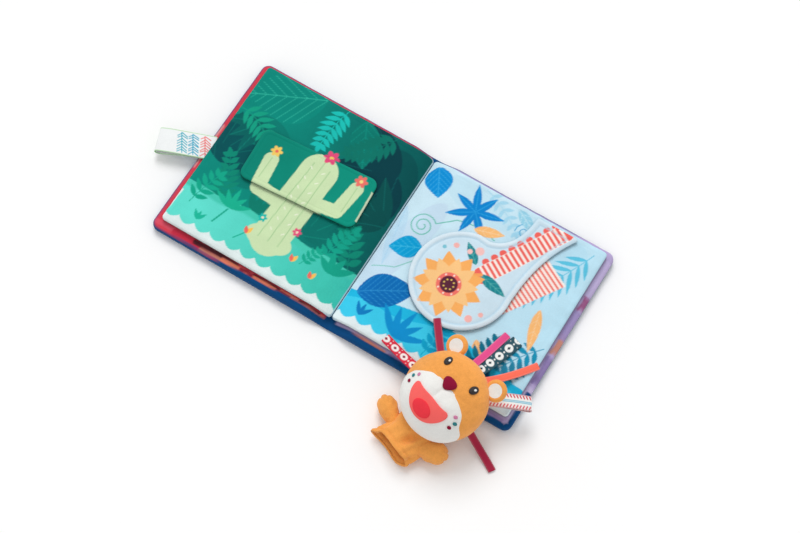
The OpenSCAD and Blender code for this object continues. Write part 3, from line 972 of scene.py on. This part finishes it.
def shaded_side(art, flat):
    """Painted shade, dark on the side below the seam, and pale where the pad dips into
    the gutter.
    """
    gutter = smooth(9, 3, np.abs(flat.x))
    art.tint(np.clip((flat.q - 0.55) * 7, 0, 1) * (1 - gutter), "#2b3b48")
    art.tint(np.clip((flat.q - 0.02) * 20, 0, 1) * gutter, "#c3dbe6")
    return art


flat = page(-1, 21)
left_page = flat.piece
shaded_side(jungle(flat), flat).save(left_page)
dress(left_page, printed_cotton, nodes=("left_leaf",))
flat = page(1, 31)
right_page = flat.piece
shaded_side(garden(flat), flat).save(right_page)
dress(right_page, printed_cotton, nodes=("right_leaf",))
for leaf in (left_page, right_page):
    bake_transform(leaf)

# %% [markdown]
# The lift flaps are thin padded pieces, sewn to the leaf along their far edge
# and free elsewhere, so their free edges stand a little off the page and cast a
# line of shadow. The left one is a hemmed rectangle, the right one a round head
# on a neck with a rolled rim.

# %% The left flap
flap_x, flap_y, half_wide, half_deep = -91, 12, 60.8, 27.3
card = rounded(flap_x - half_wide, flap_x + half_wide, flap_y - half_deep,
               flap_y + half_deep, 7.5, 4, (flap_x, flap_y))
flat = Blank("left_flap_cloth", card, 0.8, 5)
free = smooth(30, -16, flat.y - 0.07 * (flat.x + 91))
hem = bell(flat.deep, 1.2, 1.1) - 0.8 * bell(flat.deep, 3.4, 0.8)
lift = 0.9 * free ** 2
top = 21.0 + lift + 0.35 * hem + 0.25 * waves(flat.x, flat.y, 8, 34)
left_flap = stuff(flat, top, 18.6 + lift, 1.2)
puff(left_flap, 2.5, 0.4, spread=0.1)
art = jungle(flat, on_flap=True)
short_hem = (flat.x > -36) & (np.abs(flat.y - 14) < 17)
art.lay(np.where(short_hem, 0.5 - np.abs(flat.deep - 0.1), -9), "#dfe8c6", 0.9)
# painted shade: the flap's lower side and underside darken, except along the short hem
art.tint(np.clip((flat.q - 0.3) * 6, 0, 1) * ~short_hem, "#06463f")
art.save(left_flap)
dress(left_flap, printed_cotton, "left_half", ("left_flap",))

# %% [markdown]
# The round flap's outline is a disc and a neck, joined by two bent lines. Its rim
# is a thin roll of cloth, with a shallow stitched channel inside it.

# %% The round flap
def bent(a, b, c, n=14):
    t = np.linspace(0, 1, n)[:, None]
    a, b, c = (np.array(p, float) for p in (a, b, c))
    return (1 - t) ** 2 * a + 2 * t * (1 - t) * b + t * t * c


def head_and_neck(inset):
    """The outline of the solid flap, drawn in by inset: a disc and its neck."""
    cx, cy, r = 87.0, -2.0, 50.0 - inset
    right = bent((cx + r, cy + 6), (137 - inset, 54), (160 - inset, 91 - inset))
    left = bent((116 + inset, 91 - inset), (114 + inset * 0.6, 50), (90, cy + 0.96 * r))
    turn = np.radians(np.linspace(90, 366, 60))
    round_head = np.c_[cx + r * np.cos(turn), cy + r * np.sin(turn)]
    return np.vstack([right[1:], left, round_head[2:]])


flat = Blank("round_flap_cloth", head_and_neck(1.6), 0.8, 6)
rim = bell(flat.deep, 1.2, 1.5) - 0.7 * bell(flat.deep, 4.6, 1.2)
lift = 0.9 * smooth(50, -20, flat.y)
top = 21.3 + lift + 0.6 * rim + 0.22 * waves(flat.x, flat.y, 9, 30)
round_flap = stuff(flat, top, 18.7 + lift, 1.6)
puff(round_flap, 2.5, 0.45, spread=0.1)
art = flower(flat)
art.lay(0.7 - np.abs(flat.deep - 4.2), "#b4d3e6", 0.6)
# painted highlight: a pale band along the rolled rim, left off at the neck's sewn end
art.lay(np.where(flat.y < 60, 2.4 - flat.deep, -9), "#dcebf4", 0.8)
# painted shade: the flap's lower side and underside darken
art.tint(np.clip((flat.q - 0.45) * 6, 0, 1), "#2a5870")
art.save(round_flap)
dress(round_flap, printed_cotton, "right_half", ("right_flap",))

# %% [markdown]
# A ribbon is modelled directly, never simulated: it is a strip with a length, a
# width and a thickness that follows a line. A small grid gives the strip, one
# axis runs along the line, and the print is painted on the flat strip before it
# is bent.

# %% Ribbons
def follow(flat, line, across, thick, cup):
    """Bend a flat strip along a line of points. across is its sideways direction."""
    line = np.asarray(line, float)
    run = np.r_[0, np.cumsum(np.linalg.norm(np.diff(line, axis=0), axis=1))]

    def on(s):
        return np.stack([np.interp(s, run, line[:, i]) for i in range(3)], axis=1)

    s = flat.x / flat.x.max() * run[-1]
    along = on(s + 0.6) - on(s - 0.6)
    along /= np.linalg.norm(along, axis=1)[:, None] + 1e-9
    side = np.tile(np.array(across, float), (len(s), 1))
    side -= (side * along).sum(1)[:, None] * along
    side /= np.linalg.norm(side, axis=1)[:, None]
    up = np.cross(along, side)
    lift = (0.5 - flat.q) * thick - cup * (flat.y / np.abs(flat.y).max()) ** 2
    write(flat.piece, on(s) + side * flat.y[:, None] + up * lift[:, None])


def sideways(turn):
    """The level direction across a ribbon that heads this way."""
    a = math.radians(turn)
    return (-math.sin(a), math.cos(a), 0)


def plain(colour):
    def paint(art, length, width):
        art.lay(0.35 - np.abs(np.abs(art.y) - width / 2 + 0.5), "#ffffff", 0.12)
    paint.ground = colour
    return paint


def diamonds(ground, figure, eye, pitch):
    """Pale rounded figures in a row, a small diamond in each and dots between."""
    def paint(art, length, width):
        for k in range(int(length / pitch) + 1):
            cx = (k + 0.35) * pitch
            art.oval(cx, 0, pitch * 0.33, width * 0.33, 0, figure)
            du, dv = np.abs(art.x - cx), np.abs(art.y)
            art.lay((1 - du / 2.0 - dv / 1.5) * 1.4, eye)
            art.disc(cx + pitch / 2, 0, 0.9, figure)
            for side in (-1, 1):
                art.disc(cx + pitch / 2, side * width * 0.36, 0.55, figure, 0.7)
    paint.ground = ground
    return paint


def ticks(art, length, width):
    pitch = 3.1
    for side in (-width, width):
        for k in range(int(length / pitch)):
            cx = 1.5 + k * pitch
            art.stroke([(cx - 0.5, side * 0.26), (cx + 0.7, side * 0.41)], 1.3,
                       "#d8334a")
    art.lay(1.05 - np.abs(art.y), "#35b5d4")
    art.lay(0.3 - np.abs(art.y), "#f4f6f5")
    art.lay(0.4 - np.abs(np.abs(art.y) - width * 0.47), "#c23a50", 0.7)


ticks.ground = "#f4f4f1"


def twigs(art, length, width):
    dice = np.random.default_rng(3)
    for x0, tone, count in ((8, "#ef6f6d", 7), (20, "#11a9c8", 8), (31, "#1590ac", 8),
                            (length - 9, "#ef6f6d", 7), (length - 21, "#11a9c8", 8),
                            (length - 32, "#2bb0c4", 7)):
        art.stroke([(x0 - 3, -width * 0.42), (x0 + 2, width * 0.42)], 0.9, tone)
        for k in range(count):
            y0 = -width * 0.4 + k * width * 0.8 / count
            y1 = y0 + dice.uniform(2.0, 4.0)
            stem = x0 - 2 + k * 0.5
            for tip in (stem + 5.6, stem - 4):
                art.stroke([(stem, y0), (tip, y1)], 1.0, tone)
    art.lay(1.6 - np.abs(art.x - length / 2), "#9ed88d", 0.8)
    art.lay(0.9 - np.abs(np.abs(art.y) - width / 2), "#a8dc98", 0.7)


twigs.ground = "#f3f6f6"


def ribbon(name, line, across, width, paint, node, body, thick, cup=0.0):
    length = np.linalg.norm(np.diff(np.asarray(line, float), axis=0), axis=1).sum()
    flat = Blank(name, rounded(0, length, -width / 2, width / 2, 0.45, n=2), 0.55, 2)
    follow(flat, line, across, thick, cup)
    art = Print(flat.x, flat.y, paint.ground, blur=0.5)
    paint(art, length, width)
    art.save(flat.piece)
    dress(flat.piece, printed_ribbon, body, (node,))
    return flat.piece, length


print("ribbon tools ready")

# %% [markdown]
# The closing tab is one ribbon folded on itself and sewn into the left edge. Its
# two layers part towards the fold, as a springy ribbon does, and the loop droops
# a little from the edge of the cover.

# %% The closing tab
def folded(root, heading, reach, rise, drop, lie, gap=1.3, n=26):
    """The line of a ribbon that runs out, folds over and comes back on top."""
    c, s = math.cos(math.radians(heading)), math.sin(math.radians(heading))
    out, back = [], []
    for i in range(n + 1):
        t = i / n
        r = reach * t
        fall = -drop * max(0.0, t - lie) ** 1.5
        spread = gap / 2 + (rise / 2 - gap / 2) * float(smooth(lie, 1.0, t))
        out.append((r, fall - spread))
        back.append((r, fall + spread))
    mid = (out[-1][1] + back[-1][1]) / 2
    half = (back[-1][1] - out[-1][1]) / 2
    bend = [(reach + half * math.cos(a), mid + half * math.sin(a))
            for a in np.radians(np.linspace(-78, 78, 9))]
    line = out + bend + back[::-1]
    return [(root[0] + r * c, root[1] + r * s, root[2] + z) for r, z in line]


TAB_HEADING = 200
line = folded((-187.5, -5.6, 12.0), TAB_HEADING, 53.5, 7.0, 7.0, 0.3, gap=1.0)
tab, tab_length = ribbon("closing_tab_ribbon", line, sideways(TAB_HEADING), 25, twigs,
                         "closing_tab", "left_half", thick=0.8)

# %% [markdown]
# The puppet is laid out in its own frame: X across the face, Y towards the
# crown and Z out of the face. One matrix then puts every piece of it on the page.
# The head is a sphere drawn into a soft, slightly flattened ball of plush, fuller
# in the cheeks. The muzzle is a second stuffed ball that sits in its lower half.

# %% The puppet's frame and head
HEAD_X, HEAD_Y, HEAD_Z = 135.5, -112, 39
face_turn = Matrix.Rotation(math.radians(-20), 4, "Z")
face_tilt = Matrix.Rotation(math.radians(25), 4, "X")
lying = Matrix.Translation((HEAD_X, HEAD_Y, HEAD_Z)) @ face_turn @ face_tilt
flat_on_floor = Matrix.Translation((HEAD_X, HEAD_Y, 0)) @ face_turn
SKULL = (42, 41, 25)
MUZZLE, MUZZLE_Y = (38.5, 33), -9.5


def placed(points, matrix):
    m = np.array(matrix)
    return points @ m[:3, :3].T + m[:3, 3]


def ball(name, segments=112, rings=80):
    bpy.ops.mesh.primitive_uv_sphere_add(segments=segments, ring_count=rings, radius=MM)
    piece = bpy.context.object
    piece.name = name
    return piece, read(piece)


def skull_depth(x, y):
    """How far the skull's front stands out of the middle of the head."""
    return SKULL[2] * np.sqrt(
        np.clip(1 - (x / SKULL[0]) ** 2 - (y / SKULL[1]) ** 2, 0, 1))


head, p = ball("puppet_head_plush")
x, y, z = (p * SKULL).T
cheek = bell(np.abs(x), 24, 15) * bell(y, -8, 16)
z = z + np.sign(z) * 1.2 * cheek
grow = 1 + 0.012 * waves(x, y + z, 41, 26)
seam = bell(y, 12 + 0.004 * x * x, 1.3) * (z > 0)
at = np.c_[x, y, z] * grow[:, None]
at[:, 2] -= 0.7 * seam
write(head, placed(at * 0.985, lying))
puff(head, 4.5, 0.9)
dress(head, orange_plush, "right_half", ("puppet_head",))


def muzzle_depth(x, y):
    """How far the muzzle's surface stands out of the middle of the head."""
    inner = 1 - (x / MUZZLE[0]) ** 2 - ((y - MUZZLE_Y) / MUZZLE[1]) ** 2
    inner = np.clip(inner, 0, 1)
    lobes = 1.8 * bell(np.abs(x), 16, 14) * bell(y, 1, 12)
    groove = 1.2 * bell(x, 0, 2.0) * smooth(-7, 3, y)
    return 2.0 + 28 * np.sqrt(inner) + (lobes - groove) * smooth(0, 0.25, inner)


muzzle, p = ball("puppet_muzzle_plush")
x, y = p[:, 0] * MUZZLE[0], p[:, 1] * MUZZLE[1] + MUZZLE_Y
front = p[:, 2] > 0
z = np.where(front, muzzle_depth(x, y) - 0.45, 2 + p[:, 2] * 22)
z = z + 0.25 * waves(x, y, 43, 14)
write(muzzle, placed(np.c_[x, y, z], lying))
puff(muzzle, 4.5, 0.6)
dress(muzzle, cream_plush, "right_half", ("puppet_muzzle",))

# %% [markdown]
# The face is felt: a smile, a tongue and a nose, cut from outlines and laid on
# the muzzle. Each blank keeps its flat pattern and only takes its height from the
# muzzle's surface, so it hugs the curve. The eyes are small domed beads of thread.

# %% The face
def felt(name, line, surface, thick, material, node, step=0.7, dome=0.0):
    """A felt patch on the face. Its underside sinks half a millimetre into it."""
    flat = Blank(name, line, step, 3)
    body = thick + dome * np.sqrt(np.clip(flat.deep / flat.deep.max(), 0, 1))
    height = surface(flat.x, flat.y) + body * (1 - flat.q) - 0.5 * flat.q
    at = flat.swollen(0.25 * np.sin(math.pi * flat.q), height)
    write(flat.piece, placed(at, lying))
    dress(flat.piece, material, "right_half", (node,) if node else ())


def eased(line, times=3):
    """Cut every corner of an outline a few times, which rounds it."""
    for _ in range(times):
        ahead = np.roll(line, -1, axis=0)
        line = np.stack([line * 0.75 + ahead * 0.25, line * 0.25 + ahead * 0.75],
                        axis=1).reshape(-1, 2)
    return line


def oval_line(x, y, rx, ry, n=40):
    a = np.linspace(0, 2 * math.pi, n, endpoint=False)
    return np.c_[x + rx * np.cos(a), y + ry * np.sin(a)]


smile = eased(np.array([
    (22, -3), (12, -4.5), (0, -3.5), (-12, -4.5), (-22, -3), (-21, -14), (-12, -25),
    (0, -28.5), (12, -25), (21, -14)], float))
felt("puppet_mouth_felt", smile, muzzle_depth, 0.7, coral_felt, "puppet_mouth")
felt("puppet_tongue_felt", oval_line(0, -18, 10, 7.2),
     lambda x, y: muzzle_depth(x, y) + 0.7, 0.6, red_felt, "puppet_tongue",
     dome=0.6)
nose = eased(np.array([
    (7.5, 15), (6, 19), (0, 20.2), (-6, 19), (-7.5, 15), (-3, 9.5), (0, 8.2),
    (3, 9.5)], float))


def brow_depth(x, y):
    return np.maximum(skull_depth(x, y), muzzle_depth(x, y) - 0.3)


felt("puppet_nose_felt", nose, brow_depth, 1.2, crimson_felt, "puppet_nose",
     dome=1.8)
cheek_dots = ((26, -1, pink_thread), (29.5, -6, teal_thread), (28.5, -12, crimson_felt))
for side, node in ((-1, "puppet_eye_left"), (1, "puppet_eye_right")):
    felt(f"{node}_bead", oval_line(side * 18, 26, 3.3, 3.9, 24), skull_depth, 0.6,
         dark_thread, node, step=0.5, dome=1.5)
    felt(f"{node}_glint", oval_line(side * 18 + 1.0, 27.4, 0.9, 0.9, 12),
         lambda x, y: skull_depth(x, y) + 1.6, 0.5, cream_plush, "",
         step=0.4, dome=0.3)
    for k, (dx, dy, thread) in enumerate(cheek_dots):
        felt(f"{node}_whisker_dot_{k}", oval_line(side * dx, dy, 1.5, 1.5, 16),
             muzzle_depth, 0.35, thread, "", step=0.4, dome=0.5)

# %% [markdown]
# Ears, paws and sleeve finish the puppet. An ear is a ball flattened and hollowed
# on its front, with a cream lining.

# %% Ears
def ear(side):
    name = "left" if side < 0 else "right"
    piece, p = ball(f"puppet_ear_{name}_plush", 48, 32)
    u, v = p[:, 0] * 10.4, p[:, 1] * 10.4
    r = np.hypot(p[:, 0], p[:, 1])
    front = p[:, 2] > 0
    w = p[:, 2] * 4.2 - np.where(front, 3.0 * np.clip(1 - (r / 0.8) ** 2, 0, 1), 0)
    w = w - 1.8 * r ** 2
    at = np.c_[u + side * 27.6, v + 37.2, w - 2.0]
    write(piece, placed(at, lying))
    return piece, p


for side, node in ((-1, "puppet_ear_left"), (1, "puppet_ear_right")):
    piece, p = ear(side)
    dress(piece, orange_plush, "right_half", (node,))
    piece.data.materials.append(cream_plush)
    middle = np.array([np.mean([p[v] for v in f.vertices], axis=0)
                       for f in piece.data.polygons])
    lining = (middle[:, 2] > 0) & (np.hypot(middle[:, 0], middle[:, 1]) < 0.66)
    piece.data.polygons.foreach_set("material_index", lining.astype(int))

# %% [markdown]
# A paw is a ball drawn out towards the sleeve. It rests on the table, so its
# underside is pressed flat, and two short grooves at the round end make its toes.

# %% Paws
def paw(name, start, end, r, node, seed):
    piece, p = ball(name, 64, 48)
    a, b = np.array(start, float), np.array(end, float)
    way = b - a
    length = np.linalg.norm(way)
    way /= length
    side = np.array([-way[1], way[0]])
    t = np.clip((p[:, 0] + 1) / 2, 0, 1)
    thin = r * (0.78 + 0.24 * smooth(0.2, 0.9, t))
    reach = length / 2 + r
    centre = (a + b) / 2
    u = p[:, 0] * reach
    v, w = p[:, 1] * thin, p[:, 2] * thin * 0.92
    bump = 1 + 0.04 * waves(u, v + w, seed, 9)
    v, w = v * bump, w * bump
    w = w + thin.max() * 0.92 + 0.2
    w = np.maximum(w, 0.1 + 0.3 * np.hypot(u / reach, v / r))
    for k in (-1, 1):
        u = u - 1.3 * bell(v, k * r * 0.33, 1.0) * smooth(0.72, 0.95, t)
    flat_xy = centre + np.outer(u, way) + np.outer(v, side)
    write(piece, placed(np.c_[flat_xy, w], flat_on_floor))
    puff(piece, 2.5, 0.5)
    dress(piece, orange_plush, "right_half", (node,))


paw("puppet_paw_left_plush", (-22.5, -45), (-34, -41), 10.2, "puppet_paw_left", 51)
paw("puppet_paw_right_plush", (19.5, -40.7), (30, -35), 11.8, "puppet_paw_right", 52)

# %% [markdown]
# The sleeve is an empty tube of plush that has slumped. A grid rolled into a tube
# gives it: folds run down from the neck and deepen towards the hem, a pinch sits
# on top, and the section is pressed flat where it lies.

# %% The sleeve
bpy.ops.mesh.primitive_grid_add(x_subdivisions=160, y_subdivisions=60, size=1)
sleeve = bpy.context.object
sleeve.name = "puppet_sleeve_plush"
g = read(sleeve) * MM
u = g[:, 0] / np.abs(g[:, 0]).max() * math.pi
v = (g[:, 1] / np.abs(g[:, 1]).max() + 1) / 2
deepen = smooth(0.05, 0.75, v)
folds = 1.7 * np.sin(3 * u + 3.4 * v + 0.4) * deepen + 1.1 * np.sin(
    7 * u - 4.0 * v + 1.0) * smooth(0.2, 1.0, v)
pinch = 6.0 * bell(u, 1.25 + 0.5 * (v - 0.5), 0.2) * bell(v, 0.62, 0.24)
ridge = 2.2 * bell(u, 0.75 + 0.4 * v, 0.22) * deepen
hem = 0.9 * bell(v, 0.955, 0.03) - 0.8 * bell(v, 0.88, 0.018)
relief = folds + ridge + hem - 0.4 * pinch
x = (22.0 - 0.6 * v + relief) * np.cos(u) + 1.5 * np.sin(3.5 * v)
z = (12.4 - 2.8 * v + relief * 0.8 - 0.75 * pinch) * np.sin(u) + 13.0 - 2.6 * v
z = np.maximum(z, 0.4 + 0.25 * np.abs(np.sin(5 * u)))
y = -22 - 43 * v + (2.6 * np.sin(u + 0.4) + 1.3 * np.sin(3 * u + 1)) * v
write(sleeve, placed(np.c_[x, y, z], flat_on_floor))
alone(sleeve)
bpy.ops.object.mode_set(mode="EDIT")
bpy.ops.mesh.select_all(action="SELECT")
bpy.ops.mesh.remove_doubles(threshold=0.00005)
bpy.ops.mesh.normals_make_consistent(inside=False)
bpy.ops.object.mode_set(mode="OBJECT")
wall = sleeve.modifiers.new("Wall", "SOLIDIFY")
wall.thickness, wall.offset = 2.4 * MM, -1
bpy.ops.object.modifier_apply(modifier=wall.name)
dress(sleeve, orange_plush, "right_half", ("puppet_sleeve",))

# %% [markdown]
# Last, the mane: short lengths of ribbon sewn into the head's seam that fan out
# over the page. Each one leaves the head high, bends down and lies flat.

# %% The mane
ROOT_R = 30


def out_of_head(r, turn):
    a = math.radians(turn)
    return HEAD_X + r * math.cos(a), HEAD_Y + r * math.sin(a)


def falling(turn, reach, tip, root_z, sway, n=24):
    """From inside the head outwards and down to where the ribbon lies."""
    line = []
    for i in range(n + 1):
        t = i / n
        r = ROOT_R + (reach - ROOT_R) * t
        z = tip + (root_z - tip) * (1 - t) ** 2.4
        line.append((*out_of_head(r, turn + sway * t * t), z))
    return line


MANE = [
    ("mane_crimson", 126.5, 81, 23.4, 40, 7.2, plain("#a5123f"), "crimson_ribbon", 0.0),
    ("mane_pink", 82, 88, 19.4, 46, 7.2, plain("#e5498c"), "pink_ribbon", -2.0),
    ("mane_teal", 73, 90, 19.2, 40, 12.3,
     diamonds("#1f4f5e", "#f4f6f4", "#12303c", 12.4), "teal_ribbon", 0.0),
    ("mane_coral", 54, 93, 19.2, 45, 7.2, plain("#ff7058"), "coral_ribbon", 0.0),
    ("mane_red", 162.5, 84, 19.3, 33, 9.3,
     diamonds("#d81f3c", "#f8ecea", "#8c1030", 12.6), "red_ribbon", 0.0),
    ("mane_low", -20, 73, 1.4, 24, 7.3, plain("#a8143c"), "crimson_ribbon", -3.0),
]
for node, turn, reach, tip, root_z, width, paint, slot, sway in MANE:
    line = falling(turn, reach, tip, root_z, sway)
    strip, length = ribbon(node + "_strip", line, sideways(turn), width, paint, node,
                           "right_half", thick=0.7, cup=0.25)

LOOP_TURN = 29
line = folded((*out_of_head(ROOT_R, LOOP_TURN), 34.5), LOOP_TURN, 46, 4.5, 14, 0.2)
loop, length = ribbon("mane_loop_strip", line, sideways(LOOP_TURN), 14, ticks,
                      "mane_loop", "right_half", thick=0.7)
